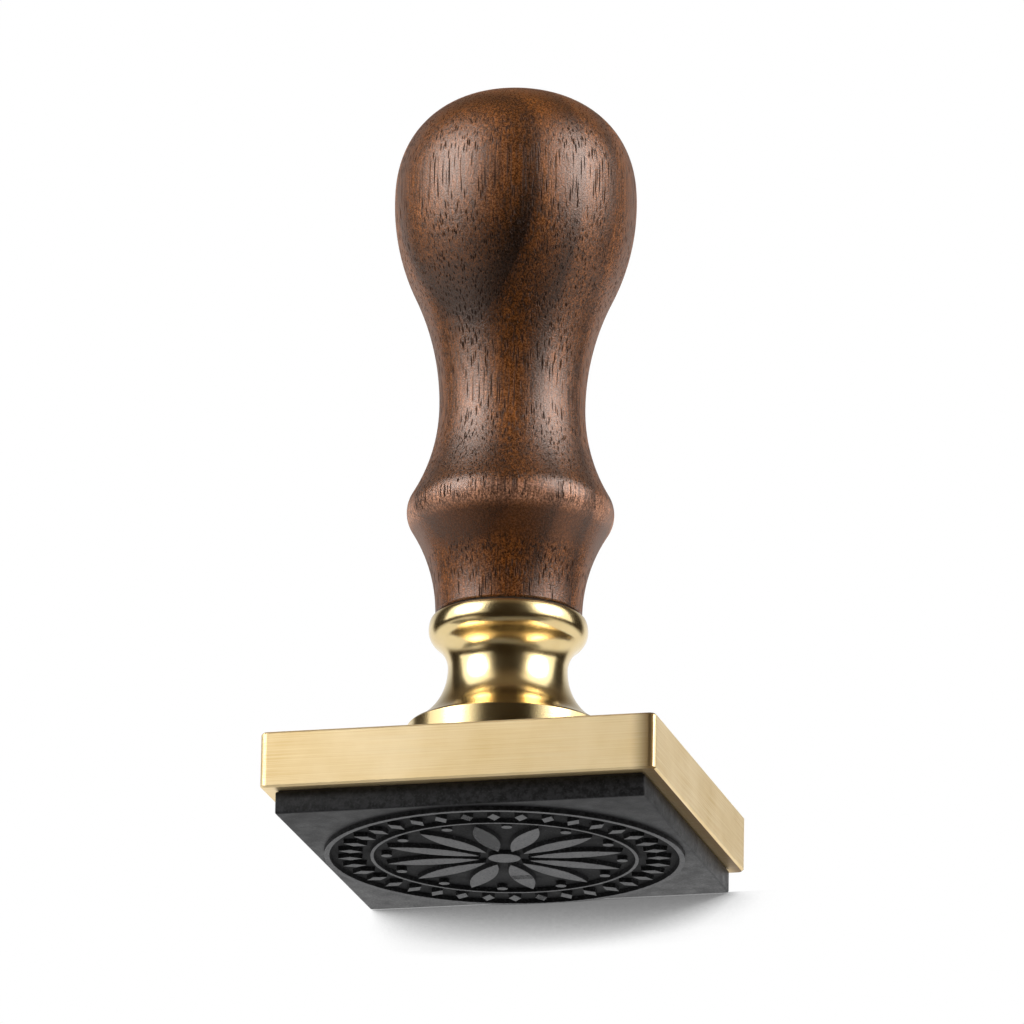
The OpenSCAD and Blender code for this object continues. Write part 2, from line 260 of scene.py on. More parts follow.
def polishedBrass():
    look = polishedLook
    material, tree, inMm = startMaterial("brassTurnedPolished")
    height = addNode(tree, "ShaderNodeSeparateXYZ", {0: inMm}).outputs[2]
    path = addNode(tree, "ShaderNodeCombineXYZ", {0: offAxis(tree, inMm), 2: height})
    # Lathe lines are about 0.05 mm apart, and drawn at 0.2 mm so that they show
    lines, pits, film = (
        addNode(tree, "ShaderNodeTexNoise", {"Vector": where, "Scale": look[name], "Detail": detail})
        for name, where, detail in (("lines", path, 2), ("pits", inMm, 3), ("film", inMm, 3))
    )
    tint = addNode(tree, "ShaderNodeMix", {0: film, 6: look["colour"], 7: look["dull"]}, data_type="RGBA")
    rough = addNode(tree, "ShaderNodeMapRange", {0: film, **span(*look["roughness"])})
    turned = addNode(tree, "ShaderNodeBump", {
        "Strength": 0.5, "Distance": look["lineDepth"] * mm, "Height": lines,
    })
    pitted = addNode(tree, "ShaderNodeBump", {
        "Strength": 0.5, "Distance": look["pitDepth"] * mm, "Height": pits, "Normal": turned,
    })
    endMaterial(tree, {"Base Color": tint.outputs[2], "Roughness": rough, "Normal": pitted, "Metallic": 1.0})
    return material


# Brass bar, brushed lengthwise: pale gold with fine level scratches and a soft, spread reflection
brushedLook = {
    "colour": "#fae4b8", "dull": "#e6ca92", "film": 0.12, "dullOver": (0.12, 0.42),
    "acrossLines": 5.0, "alongLines": 0.05, "lineDepth": 0.02, "roughness": (0.3, 0.7, 0.42, 0.54),
    "cornerShade": "#7d6440", "cornerShadeOver": (26.0, 29.6), "topPolish": 0.27, "endFacing": 0.7, "topFacing": 0.9,
}


def brushedBrass():
    look = brushedLook
    material, tree, inMm = startMaterial("brassBarBrushed")
    fine, long = look["acrossLines"], look["alongLines"]
    # The scratches are under 0.1 mm, and drawn at 0.2 mm so that they show
    alongX = addNode(tree, "ShaderNodeVectorMath", {0: inMm, 1: (long, fine, fine)}, operation="MULTIPLY")
    alongY = addNode(tree, "ShaderNodeVectorMath", {0: inMm, 1: (fine, long, fine)}, operation="MULTIPLY")
    normal = faceWay(tree)
    sideways = addNode(tree, "ShaderNodeMath", {0: normal[0]}, operation="ABSOLUTE")
    onEnds = addNode(tree, "ShaderNodeMath", {0: sideways, 1: look["endFacing"]}, operation="GREATER_THAN")
    way = addNode(tree, "ShaderNodeMix", {0: onEnds, 4: alongX, 5: alongY}, data_type="VECTOR")
    scratch = addNode(tree, "ShaderNodeTexNoise", {"Vector": way.outputs[1], "Scale": 1.0, "Detail": 4})
    film = addNode(tree, "ShaderNodeTexNoise", {"Vector": inMm, "Scale": look["film"], "Detail": 4})
    patch = addNode(tree, "ShaderNodeMath", {0: film, 1: scratch}, operation="MULTIPLY")
    amount = addNode(tree, "ShaderNodeMapRange", {0: patch, **span(*look["dullOver"])})
    clean = addNode(tree, "ShaderNodeMix", {0: amount, 6: look["colour"], 7: look["dull"]}, data_type="RGBA")
    # Painted shade darkens the bar's long faces towards the right-hand end
    parts = addNode(tree, "ShaderNodeSeparateXYZ", {0: inMm})
    nearCorner = addNode(tree, "ShaderNodeMapRange", {0: parts.outputs[0], **span(*look["cornerShadeOver"])}, **soft)
    onSides = addNode(tree, "ShaderNodeMath", {0: 1.0, 1: onEnds}, operation="SUBTRACT")
    paintedCornerShade = addNode(tree, "ShaderNodeMath", {0: nearCorner, 1: onSides}, operation="MULTIPLY")
    tint = addNode(tree, "ShaderNodeMix", {
        0: paintedCornerShade, 6: clean.outputs[2], 7: look["cornerShade"],
    }, data_type="RGBA")
    rough = addNode(tree, "ShaderNodeMapRange", {0: scratch, **span(*look["roughness"])})
    # The top is polished like the collar that stands on it
    onTop = addNode(tree, "ShaderNodeMath", {0: normal[2], 1: look["topFacing"]}, operation="GREATER_THAN")
    finish = addNode(tree, "ShaderNodeMath", {
        0: onTop, 1: -look["topPolish"], 2: rough,
    }, operation="MULTIPLY_ADD")
    grooves = addNode(tree, "ShaderNodeBump", {
        "Strength": 0.5, "Distance": look["lineDepth"] * mm, "Height": scratch,
    })
    endMaterial(tree, {
        "Base Color": tint.outputs[2], "Roughness": finish, "Normal": grooves, "Metallic": 1.0,
    })
    return material


# Rubber, moulded and buffed on its printing faces: dull black, greyer where it prints, with specks of dust
rubberLook = {
    "body": "#171718", "recessShade": "#080809", "printing": "#474748", "dust": "#303032",
    "roughness": 0.48, "printingRoughness": 0.5, "recessRoughness": 0.85, "patchy": (0.7, 1.3, -0.11, 0.11),
    "dustOver": (0.52, 0.72), "designRadius": 26.6, "printingOver": (0.02, 0.1, 1.0, 0.0), "refraction": 1.3,
    "cloud": 0.4, "cloudLight": (0.3, 0.7, 0.8, 1.2), "grit": 3.0, "gritDepth": 0.06,
    "mottle": 1.3, "cutLight": (0.4, 0.62, 0.5, 2.4), "cutFacing": 0.5,
}


def mouldedRubber():
    look = rubberLook
    material, tree, inMm = startMaterial("rubberMoulded")
    parts = addNode(tree, "ShaderNodeSeparateXYZ", {0: inMm})
    printing = addNode(tree, "ShaderNodeMapRange", {0: parts.outputs[2], **span(*look["printingOver"])})
    # Painted shade makes the hollows of the design blacker than the sheet's margin, and they are duller too
    within = addNode(tree, "ShaderNodeMath", {
        0: offAxis(tree, inMm), 1: look["designRadius"],
    }, operation="LESS_THAN")
    cloud, grit, mottle = (
        addNode(tree, "ShaderNodeTexNoise", {"Vector": inMm, "Scale": look[name], "Detail": detail})
        for name, detail in (("cloud", 4), ("grit", 3), ("mottle", 3))
    )
    dust = addNode(tree, "ShaderNodeMapRange", {0: grit, **span(*look["dustOver"])})
    sheet = addNode(tree, "ShaderNodeMix", {0: within, 6: look["body"], 7: look["recessShade"]}, data_type="RGBA")
    tone = addNode(tree, "ShaderNodeMix", {
        0: printing, 6: sheet.outputs[2], 7: look["printing"],
    }, data_type="RGBA")
    cloudLight = addNode(tree, "ShaderNodeMapRange", {0: cloud, **span(*look["cloudLight"])})
    # The sheet is cut to size with a knife, which leaves its sides mottled
    upright = addNode(tree, "ShaderNodeMath", {0: faceWay(tree)[2]}, operation="ABSOLUTE")
    onCut = addNode(tree, "ShaderNodeMath", {0: upright, 1: look["cutFacing"]}, operation="LESS_THAN")
    cutLight = addNode(tree, "ShaderNodeMapRange", {0: mottle, **span(*look["cutLight"])})
    light = addNode(tree, "ShaderNodeMix", {0: onCut, 2: cloudLight, 3: cutLight})
    uneven = addNode(tree, "ShaderNodeHueSaturation", {"Value": light, "Color": tone.outputs[2]})
    dusty = addNode(tree, "ShaderNodeMix", {0: dust, 6: uneven, 7: look["dust"]}, data_type="RGBA")
    # Dust also breaks up the dull shine
    sheetRough = addNode(tree, "ShaderNodeMix", {0: within, 2: look["roughness"], 3: look["recessRoughness"]})
    toneRough = addNode(tree, "ShaderNodeMix", {0: printing, 2: sheetRough, 3: look["printingRoughness"]})
    mixed = addNode(tree, "ShaderNodeMath", {0: grit, 1: cloud}, operation="ADD")
    patchy = addNode(tree, "ShaderNodeMapRange", {0: mixed, **span(*look["patchy"])})
    rough = addNode(tree, "ShaderNodeMath", {0: toneRough, 1: patchy}, operation="ADD")
    skin = addNode(tree, "ShaderNodeBump", {
        "Strength": 0.5, "Distance": look["gritDepth"] * mm, "Height": grit,
    })
    endMaterial(tree, {
        "Base Color": dusty.outputs[2], "Roughness": rough, "Normal": skin, "IOR": look["refraction"],
    })
    return material


# The small hidden pieces share one recipe: a tone that clouds towards another, and a fine tooth
cloudOver = (0.35, 0.65)
smallLooks = {
    # Warm gold, a little uneven where the cutter passed
    "brassMachined": {
        "tones": ("#d6b36c", "#b8934f"), "metallic": 1.0, "roughness": (0.3, 0.7, 0.25, 0.38),
        "grain": 2.5, "tooth": 0.01,
    },
    # Pale cool grey, faintly clouded, with a soft shine
    "steelZincPlated": {
        "tones": ("#b9bcc0", "#9da1a6"), "metallic": 1.0, "roughness": (0.3, 0.7, 0.28, 0.41),
        "grain": 0.8, "tooth": 0.004,
    },
    # Dark brown and matt, speckled by its fibres
    "fibrePressed": {
        "tones": ("#2a211c", "#3b2f27"), "metallic": 0.0, "roughness": (0.3, 0.7, 0.75, 0.88),
        "grain": 3.0, "tooth": 0.03,
    },
    # Near black and smooth, with a weak shine
    "adhesiveFilm": {
        "tones": ("#232326", "#2e2e32"), "metallic": 0.0, "roughness": (0.3, 0.7, 0.4, 0.53),
        "grain": 0.6, "tooth": 0.003,
    },
}


def cloudedFinish(name):
    look = smallLooks[name]
    material, tree, inMm = startMaterial(name)
    light, dark = look["tones"]
    cloud = addNode(tree, "ShaderNodeTexNoise", {"Vector": inMm, "Scale": look["grain"], "Detail": 4})
    amount = addNode(tree, "ShaderNodeMapRange", {0: cloud, **span(*cloudOver)})
    tint = addNode(tree, "ShaderNodeMix", {0: amount, 6: light, 7: dark}, data_type="RGBA")
    rough = addNode(tree, "ShaderNodeMapRange", {0: cloud, **span(*look["roughness"])})
    tooth = addNode(tree, "ShaderNodeBump", {
        "Strength": 0.5, "Distance": look["tooth"] * mm, "Height": cloud,
    })
    endMaterial(tree, {
        "Base Color": tint.outputs[2], "Roughness": rough, "Normal": tooth, "Metallic": look["metallic"],
    })
    return material


walnut = turnedWalnut()
collarBrass = polishedBrass()
plateBrass = brushedBrass()
rubber = mouldedRubber()
small = {name: cloudedFinish(name) for name in smallLooks}
print("materials made:", len([walnut, collarBrass, plateBrass, rubber, *small]))


# The curves of the turned pieces, as points of radius and height
def ogee(wide, narrow, wideRound, steps):
    across, height = wide[0] - narrow[0], narrow[1] - wide[1]
    total = (across ** 2 + height ** 2) / (2 * across)
    narrowRound, up = total - wideRound, math.copysign(1, height)
    angles = [math.asin(abs(height) / total) * i / steps for i in range(steps + 1)]
    bulge = [
        (wide[0] - wideRound * (1 - math.cos(a)), wide[1] + up * wideRound * math.sin(a))
        for a in angles
    ]
    hollow = [
        (narrow[0] + narrowRound * (1 - math.cos(a)), narrow[1] - up * narrowRound * math.sin(a))
        for a in angles
    ]
    return bulge + hollow[-2::-1]


def cove(narrow, rim, steps):
    across, height = rim[0] - narrow[0], narrow[1] - rim[1]
    radius = (across ** 2 + height ** 2) / (2 * across)
    angles = [math.asin(height / radius) * i / steps for i in range(steps + 1)]
    return [(narrow[0] + radius * (1 - math.cos(a)), narrow[1] - radius * math.sin(a)) for a in angles]


def shoulder(outer, inner, power, steps):
    angles = [math.pi / 2 * i / steps for i in range(steps + 1)]
    points = [(
        inner[0] + (outer[0] - inner[0]) * max(math.cos(a), 0) ** (2 / power),
        outer[1] + (inner[1] - outer[1]) * math.sin(a) ** (2 / power),
    ) for a in angles]
    return points[:-1] + [inner]


# A new object with an empty or given mesh, in the scene and at the origin
def newPiece(name, points=(), edges=(), faces=()):
    mesh = bpy.data.meshes.new(name)
    mesh.from_pydata(points, edges, faces)
    piece = bpy.data.objects.new(name, mesh)
    bpy.context.scene.collection.objects.link(piece)
    return piece


# A box of the given size and middle, still open to edits
def boxForm(size, middle):
    form = bmesh.new()
    bmesh.ops.create_cube(form, size=1.0)
    bmesh.ops.scale(form, vec=size, verts=form.verts)
    bmesh.ops.translate(form, vec=middle, verts=form.verts)
    return form


# A tree with a geometry in and out and its named sizes, which the caller joins up
def startTree(name, sizes):
    tree = bpy.data.node_groups.new(name, "GeometryNodeTree")
    tree.interface.new_socket("Geometry", in_out="OUTPUT", socket_type="NodeSocketGeometry")
    tree.interface.new_socket("Geometry", in_out="INPUT", socket_type="NodeSocketGeometry")
    for label, value in sizes.items():
        kind = "NodeSocketInt" if isinstance(value, int) else "NodeSocketFloat"
        tree.interface.new_socket(label, in_out="INPUT", socket_type=kind)
    start = addNode(tree, "NodeGroupInput")
    return tree, start.outputs


# Ends the tree, runs it with its sizes and leaves the piece a plain mesh
def runTree(piece, tree, result, sizes, material, sharpAngle):
    whole = addNode(tree, "GeometryNodeRealizeInstances", {0: result})
    painted = addNode(tree, "GeometryNodeSetMaterial", {0: whole, "Material": material})
    addNode(tree, "NodeGroupOutput", {0: painted})
    modifier = piece.modifiers.new("shape", "NODES")
    modifier.node_group = tree
    for socket in tree.interface.items_tree:
        if socket.in_out == "INPUT" and socket.name in sizes:
            modifier[socket.identifier] = sizes[socket.name]
    plainMesh(piece, sharpAngle)


# What the modifiers give becomes the piece's own mesh, closed and facing outwards
def plainMesh(piece, sharpAngle):
    bpy.context.view_layer.update()
    shaped = piece.evaluated_get(bpy.context.evaluated_depsgraph_get())
    mesh = bpy.data.meshes.new_from_object(shaped)
    piece.modifiers.clear()
    piece.data = mesh
    form = bmesh.new()
    form.from_mesh(mesh)
    bmesh.ops.remove_doubles(form, verts=form.verts, dist=weldGap)
    # Faces of many sides are split here, so that no two of them are split along one line
    bmesh.ops.triangulate(form, faces=[f for f in form.faces if len(f.verts) > 4])
    bmesh.ops.recalc_face_normals(form, faces=form.faces)
    openEdges = sum(1 for e in form.edges if not e.is_manifold)
    form.to_mesh(mesh)
    form.free()
    mesh.shade_smooth()
    mesh.set_sharp_from_angle(angle=math.radians(sharpAngle))
    print(piece.name, "faces:", len(mesh.polygons), "open edges:", openEdges)


# Turns a profile about the axis: each row of a grid takes one profile point, each column one angle
def turnOnLathe(name, profile, stepsAround, material, sharpAngle=32):
    points = [(r * mm, 0, z * mm) for r, z in profile]
    piece = newPiece(name, points, [(i, i + 1) for i in range(len(points) - 1)])
    sizes = {"Steps around": stepsAround, "Profile points": len(points)}
    tree, given = startTree(name + "Lathe", sizes)
    around, along = given["Steps around"], given["Profile points"]
    columns = addNode(tree, "ShaderNodeMath", {0: around, 1: 1}, operation="ADD")
    grid = addNode(tree, "GeometryNodeMeshGrid", {"Vertices X": columns, "Vertices Y": along})
    index = addNode(tree, "GeometryNodeInputIndex")
    row = addNode(tree, "ShaderNodeMath", {0: index, 1: along}, operation="MODULO")
    past = addNode(tree, "ShaderNodeMath", {0: index, 1: along}, operation="DIVIDE")
    column = addNode(tree, "ShaderNodeMath", {0: past}, operation="FLOOR")
    share = addNode(tree, "ShaderNodeMath", {0: column, 1: around}, operation="DIVIDE")
    angle = addNode(tree, "ShaderNodeMath", {0: share, 1: 2 * math.pi}, operation="MULTIPLY")
    position = addNode(tree, "GeometryNodeInputPosition")
    sample = addNode(tree, "GeometryNodeSampleIndex", {
        "Geometry": given["Geometry"], "Value": position, "Index": row,
    }, data_type="FLOAT_VECTOR")
    swung = addNode(tree, "ShaderNodeVectorRotate", {
        "Vector": sample, "Angle": angle,
    }, rotation_type="Z_AXIS")
    turned = addNode(tree, "GeometryNodeSetPosition", {"Geometry": grid, "Position": swung})
    closed = addNode(tree, "GeometryNodeMergeByDistance", {"Geometry": turned, "Distance": weldGap})
    runTree(piece, tree, closed, sizes, material, sharpAngle)
    return piece


handleSizes = {
    "footRadius": 11.05, "footRise": 16.0, "footEdge": 0.2,
    "beadRadius": 15.65, "beadRound": 4.7, "beadRise": 16.8,
    "waistRadius": 11.05, "waistRise": 32.4,
    "knobRadius": 18.4, "knobFlank": 0.455, "crownFullness": 2.3, "crownGap": 0.001,
    "boreRadius": 6.02, "boreDepth": 14.5,
    "steps": 18, "crownSteps": 40, "stepsAround": 160,
}


def turnedHandle():
    s = handleSizes
    footAt, top = (corner.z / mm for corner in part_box("handle"))
    beadAt = footAt + s["footRise"]
    waistAt = beadAt + s["beadRise"]
    knobAt = waistAt + s["waistRise"]
    boreTop = footAt + s["boreDepth"]
    foot, bead = (s["footRadius"], footAt), (s["beadRadius"], beadAt)
    waist, knob = (s["waistRadius"], waistAt), (s["knobRadius"], knobAt)
    flankSum = ((knob[0] - waist[0]) ** 2 + (knob[1] - waist[1]) ** 2) / (2 * (knob[0] - waist[0]))
    bore = [(0, boreTop), (s["boreRadius"], boreTop), (s["boreRadius"], footAt)]
    # The foot's edge is just broken with sandpaper
    rise = [p for p in ogee(bead, foot, s["beadRound"], s["steps"])[::-1] if p[1] > footAt + s["footEdge"]]
    edge = [(s["footRadius"] - s["footEdge"], footAt), (s["footRadius"], footAt + s["footEdge"])]
    fall = ogee(bead, waist, s["beadRound"], s["steps"])[1:]
    flank = ogee(knob, waist, s["knobFlank"] * flankSum, s["steps"])[::-1][1:]
    crown = shoulder(knob, (0, top - s["crownGap"]), s["crownFullness"], s["crownSteps"])[1:]
    profile = bore + edge + rise + fall + flank + crown
    piece = turnOnLathe("walnutHandle", profile, s["stepsAround"], walnut)
    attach(piece, "handle")
    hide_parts("handle")


collarSizes = {
    "flangeRadius": 15.0, "flangeHeight": 7.4, "flangeEdge": 0.3,
    "coveRise": 9.0, "coveRadius": 9.0,
    "neckRise": 6.0, "beadRadius": 12.0, "beadRound": 2.9, "beadFullness": 2, "seatRadius": 11.2,
    "studHole": 4.05, "studDepth": 12.5, "studMouth": 0.25,
    "screwHole": 3.05, "screwDepth": 9.5,
    "steps": 14, "stepsAround": 160,
}


def turnedCollar():
    s = collarSizes
    low, high = (corner.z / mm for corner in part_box("collar"))
    rim = (s["flangeRadius"] - s["flangeEdge"], low + s["flangeHeight"])
    narrow = (s["coveRadius"], rim[1] + s["coveRise"])
    bead = (s["beadRadius"], narrow[1] + s["neckRise"])
    screwTop, studFloor = low + s["screwDepth"], high - s["studDepth"]
    screwHole = [(0, screwTop), (s["screwHole"], screwTop), (s["screwHole"], low)]
    flange = [
        (rim[0], low), (s["flangeRadius"], low + s["flangeEdge"]),
        (s["flangeRadius"], rim[1] - s["flangeEdge"]),
    ]
    throat = cove(narrow, rim, s["steps"])[::-1]
    neck = ogee(bead, narrow, s["beadRound"], s["steps"])[::-1][1:]
    top = shoulder(bead, (s["seatRadius"], high), s["beadFullness"], s["steps"])[1:]
    studHole = [
        (s["studHole"] + s["studMouth"], high), (s["studHole"], high - s["studMouth"]),
        (s["studHole"], studFloor), (0, studFloor),
    ]
    profile = screwHole + flange + throat + neck + top + studHole
    piece = turnOnLathe("brassCollar", profile, s["stepsAround"], collarBrass)
    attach(piece, "base")
    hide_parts("collar")


# The crest is flat for an eighth of the pitch and the root for a quarter, as on a metric thread
threadSizes = {
    "pitch": 1.25, "depth": 0.72, "flankOver": (0.0625, 0.375), "chamfer": 0.8,
    "rowsPerTurn": 12, "stepsAround": 48, "sharp": 40,
}
slotSizes = {"width": 1.2, "depth": 2.0}


# A bar whose side is cut by a helical groove: the radius follows height less the turn round the axis
def threadedStud():
    s = threadSizes
    low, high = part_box("stud")
    radius, length = high.x, high.z - low.z
    sizes = {
        "Radius": radius, "Length": length, "Pitch": s["pitch"] * mm, "Depth": s["depth"] * mm,
        "Chamfer": s["chamfer"] * mm, "Steps around": s["stepsAround"],
        "Rows": round(length / (s["pitch"] * mm) * s["rowsPerTurn"]),
    }
    piece = newPiece("steelStud")
    tree, given = startTree("studThread", sizes)
    bar = addNode(tree, "GeometryNodeMeshCylinder", {
        "Vertices": given["Steps around"], "Side Segments": given["Rows"],
        "Radius": given["Radius"], "Depth": given["Length"],
    }, fill_type="NGON")
    position = addNode(tree, "GeometryNodeInputPosition")
    parts = addNode(tree, "ShaderNodeSeparateXYZ", {0: position})
    angle = addNode(tree, "ShaderNodeMath", {0: parts.outputs[1], 1: parts.outputs[0]}, operation="ARCTAN2")
    turns = addNode(tree, "ShaderNodeMath", {0: angle, 1: 2 * math.pi}, operation="DIVIDE")
    pitches = addNode(tree, "ShaderNodeMath", {0: parts.outputs[2], 1: given["Pitch"]}, operation="DIVIDE")
    phase = addNode(tree, "ShaderNodeMath", {0: pitches, 1: turns}, operation="SUBTRACT")
    wave = addNode(tree, "ShaderNodeMath", {0: phase, 1: 0.5}, operation="PINGPONG")
    groove = addNode(tree, "ShaderNodeMapRange", {0: wave, **span(*s["flankOver"], 0, given["Depth"])})
    cut = addNode(tree, "ShaderNodeMath", {0: given["Radius"], 1: groove}, operation="SUBTRACT")
    aloft = addNode(tree, "ShaderNodeMath", {0: parts.outputs[2]}, operation="ABSOLUTE")
    half = addNode(tree, "ShaderNodeMath", {0: given["Length"], 1: 0.5}, operation="MULTIPLY")
    fromEnd = addNode(tree, "ShaderNodeMath", {0: half, 1: aloft}, operation="SUBTRACT")
    tip = addNode(tree, "ShaderNodeMath", {0: given["Radius"], 1: given["Chamfer"]}, operation="SUBTRACT")
    cone = addNode(tree, "ShaderNodeMath", {0: tip, 1: fromEnd}, operation="ADD")
    reach = addNode(tree, "ShaderNodeMath", {0: cut, 1: cone}, operation="MINIMUM")
    level = addNode(tree, "ShaderNodeVectorMath", {0: position, 1: (1, 1, 0)}, operation="MULTIPLY")
    outwards = addNode(tree, "ShaderNodeVectorMath", {0: level}, operation="NORMALIZE")
    around = addNode(tree, "ShaderNodeVectorMath", {0: outwards, 3: reach}, operation="SCALE")
    lift = addNode(tree, "ShaderNodeMath", {0: parts.outputs[2], 1: (low.z + high.z) / 2}, operation="ADD")
    upright = addNode(tree, "ShaderNodeCombineXYZ", {2: lift})
    place = addNode(tree, "ShaderNodeVectorMath", {0: around, 1: upright})
    threaded = addNode(tree, "GeometryNodeSetPosition", {"Geometry": bar, "Position": place})
    runTree(piece, tree, threaded, sizes, small["steelZincPlated"], s["sharp"])
    # The driver slot across the top
    slot = newPiece("slotCutter")
    form = boxForm((4 * radius, slotSizes["width"] * mm, 2 * slotSizes["depth"] * mm), (0, 0, high.z))
    form.to_mesh(slot.data)
    form.free()
    modifier = piece.modifiers.new("slot", "BOOLEAN")
    modifier.object, modifier.operation, modifier.solver = slot, "DIFFERENCE", "EXACT"
    plainMesh(piece, s["sharp"])
    bpy.data.objects.remove(slot)
    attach(piece, "base")
    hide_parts("stud")


dieSizes = {
    "edgeRound": 0.25, "edgeSteps": 3, "root": 0.3, "draft": 0.12, "relief": 0.7, "taper": 0.94,
    "ringSteps": 144, "petalSides": 40, "dotSides": 24, "hubSides": 48, "sharp": 35,
}
reliefSizes = {
    "Border radius": 26.55 * mm, "Border line": 0.9 * mm,
    "Lozenges": 36, "Lozenge ring": 23.1 * mm, "Lozenge length": 3.8 * mm, "Lozenge width": 2.0 * mm,
    "Inner radius": 19.8 * mm, "Inner line": 0.6 * mm,
    "Petals": 12, "Petal ring": 10.95 * mm, "Petal length": 14.9 * mm, "Petal width": 3.6 * mm,
    "Dot ring": 17.6 * mm, "Dot radius": 0.8 * mm, "Hub radius": 2.4 * mm,
    "Height": (dieSizes["relief"] + dieSizes["root"]) * mm, "Draft": dieSizes["draft"] * mm,
}


# The raised design: prisms on the sheet that narrow to their printing faces, all but the dots and hub
def rubberDie():
    s = dieSizes
    low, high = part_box("rubber_die")
    piece = newPiece("rubberDie")
    sheet = (high.x - low.x, high.y - low.y, high.z - low.z - s["relief"] * mm)
    form = boxForm(sheet, (0, 0, high.z - sheet[2] / 2))
    bmesh.ops.bevel(
        form, geom=list(form.edges), offset=s["edgeRound"] * mm, segments=s["edgeSteps"],
        profile=0.5, affect="EDGES",
    )
    form.to_mesh(piece.data)
    form.free()
    tree, given = startTree("dieRelief", reliefSizes)
    tall = given["Height"]
    half = addNode(tree, "ShaderNodeMath", {0: tall, 1: 0.5}, operation="MULTIPLY")
    middle = addNode(tree, "ShaderNodeCombineXYZ", {2: half})
    forms = [given["Geometry"]]
    # Lines that run right round: a drafted section swept along a circle
    for ring, line in (("Border radius", "Border line"), ("Inner radius", "Inner line")):
        circle = addNode(tree, "GeometryNodeCurvePrimitiveCircle", {
            "Resolution": s["ringSteps"], "Radius": given[ring],
        })
        upright = addNode(tree, "GeometryNodeSetCurveNormal", {0: circle}, mode="Z_UP")
        top = addNode(tree, "ShaderNodeMath", {0: given[line], 1: given["Draft"]}, operation="SUBTRACT")
        section = addNode(tree, "GeometryNodeCurvePrimitiveQuadrilateral", {
            "Bottom Width": given[line], "Top Width": top, "Height": tall, "Offset": 0.0,
        }, mode="TRAPEZOID")
        swept = addNode(tree, "GeometryNodeCurveToMesh", {0: upright, 1: section})
        raised = addNode(tree, "GeometryNodeTransform", {"Geometry": swept, "Translation": middle})
        forms.append(raised.outputs[0])
    # Forms that repeat round the centre: name, sides, pointed
    for name, sides, pointed in (("Lozenge", 4, False), ("Petal", s["petalSides"], True)):
        count, ring, long, wide = (given[name + end] for end in ("s", " ring", " length", " width"))
        shape = addNode(tree, "GeometryNodeMeshCone", {
            "Vertices": sides, "Radius Top": 1.0, "Radius Bottom": s["taper"], "Depth": tall,
        }, fill_type="NGON")
        if pointed:
            # Squaring the width draws a round out to a point at both ends
            position = addNode(tree, "GeometryNodeInputPosition")
            parts = addNode(tree, "ShaderNodeSeparateXYZ", {0: position})
            x, y, z = parts.outputs
            size = addNode(tree, "ShaderNodeMath", {0: y}, operation="ABSOLUTE")
            squared = addNode(tree, "ShaderNodeMath", {0: y, 1: size}, operation="MULTIPLY")
            moved = addNode(tree, "ShaderNodeCombineXYZ", {0: x, 1: squared, 2: z})
            shape = addNode(tree, "GeometryNodeSetPosition", {"Geometry": shape, "Position": moved})
        whole = addNode(tree, "ShaderNodeCombineXYZ", {0: long, 1: wide, 2: 2.0})
        scale = addNode(tree, "ShaderNodeVectorMath", {0: whole, 3: 0.5}, operation="SCALE")
        sized = addNode(tree, "GeometryNodeTransform", {"Geometry": shape, "Scale": scale})
        circle = addNode(tree, "GeometryNodeMeshCircle", {"Vertices": count, "Radius": ring})
        index = addNode(tree, "GeometryNodeInputIndex")
        step = addNode(tree, "ShaderNodeMath", {0: index, 1: count}, operation="DIVIDE")
        angle = addNode(tree, "ShaderNodeMath", {0: step, 1: 2 * math.pi}, operation="MULTIPLY")
        turn = addNode(tree, "ShaderNodeCombineXYZ", {2: angle})
        facing = addNode(tree, "FunctionNodeEulerToRotation", {0: turn})
        rowOf = addNode(tree, "GeometryNodeInstanceOnPoints", {
            "Points": circle, "Instance": sized, "Rotation": facing,
        })
        forms.append(rowOf.outputs[0])
    # Dots between the petal tips, half a step round, and the hub in the middle
    dot, hub = (addNode(tree, "GeometryNodeMeshCone", {
        "Vertices": sides, "Radius Top": given[size], "Radius Bottom": given[size], "Depth": tall,
    }, fill_type="NGON") for sides, size in ((s["dotSides"], "Dot radius"), (s["hubSides"], "Hub radius")))
    circle = addNode(tree, "GeometryNodeMeshCircle", {
        "Vertices": given["Petals"], "Radius": given["Dot ring"],
    })
    halfStep = addNode(tree, "ShaderNodeMath", {0: math.pi, 1: given["Petals"]}, operation="DIVIDE")
    turn = addNode(tree, "ShaderNodeCombineXYZ", {2: halfStep})
    swung = addNode(tree, "GeometryNodeTransform", {"Geometry": circle, "Rotation": turn})
    dots = addNode(tree, "GeometryNodeInstanceOnPoints", {"Points": swung, "Instance": dot})
    forms += [dots.outputs[0], hub.outputs[0]]
    joined = addNode(tree, "GeometryNodeJoinGeometry")
    for shape in forms:
        tree.links.new(shape, joined.inputs[0])
    runTree(piece, tree, joined, reliefSizes, rubber, s["sharp"])
    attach(piece, "base")
    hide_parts("rubber_die")


turnedHandle()
turnedCollar()
threadedStud()
rubberDie()

# CAD pieces whose shape is right keep it and take their finish
finishes = {
    "base_plate": plateBrass,
    "handle_insert": small["brassMachined"],
    "seat_washer": small["fibrePressed"],
    "plate_screw": small["steelZincPlated"],
    "dowel_pins": small["steelZincPlated"],
    "die_adhesive": small["adhesiveFilm"],
}
for node, finish in finishes.items():
    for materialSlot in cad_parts[node].material_slots:
        materialSlot.material = finish
print("finishes given:", len(finishes))


# The photograph looks up at the stamp a little, from its front right
cameraView = {
    "azimuth": 14.2, "elevation": -17.0, "roll": 1.0, "distance": 1.6, "aside": 0.000218, "height": 0.054085,
    "focalPixels": 10612, "imagePixels": 1024, "sensor": 36.0, "clip": (0.1, 10.0),
}
cameraTurn = math.radians(cameraView["azimuth"])


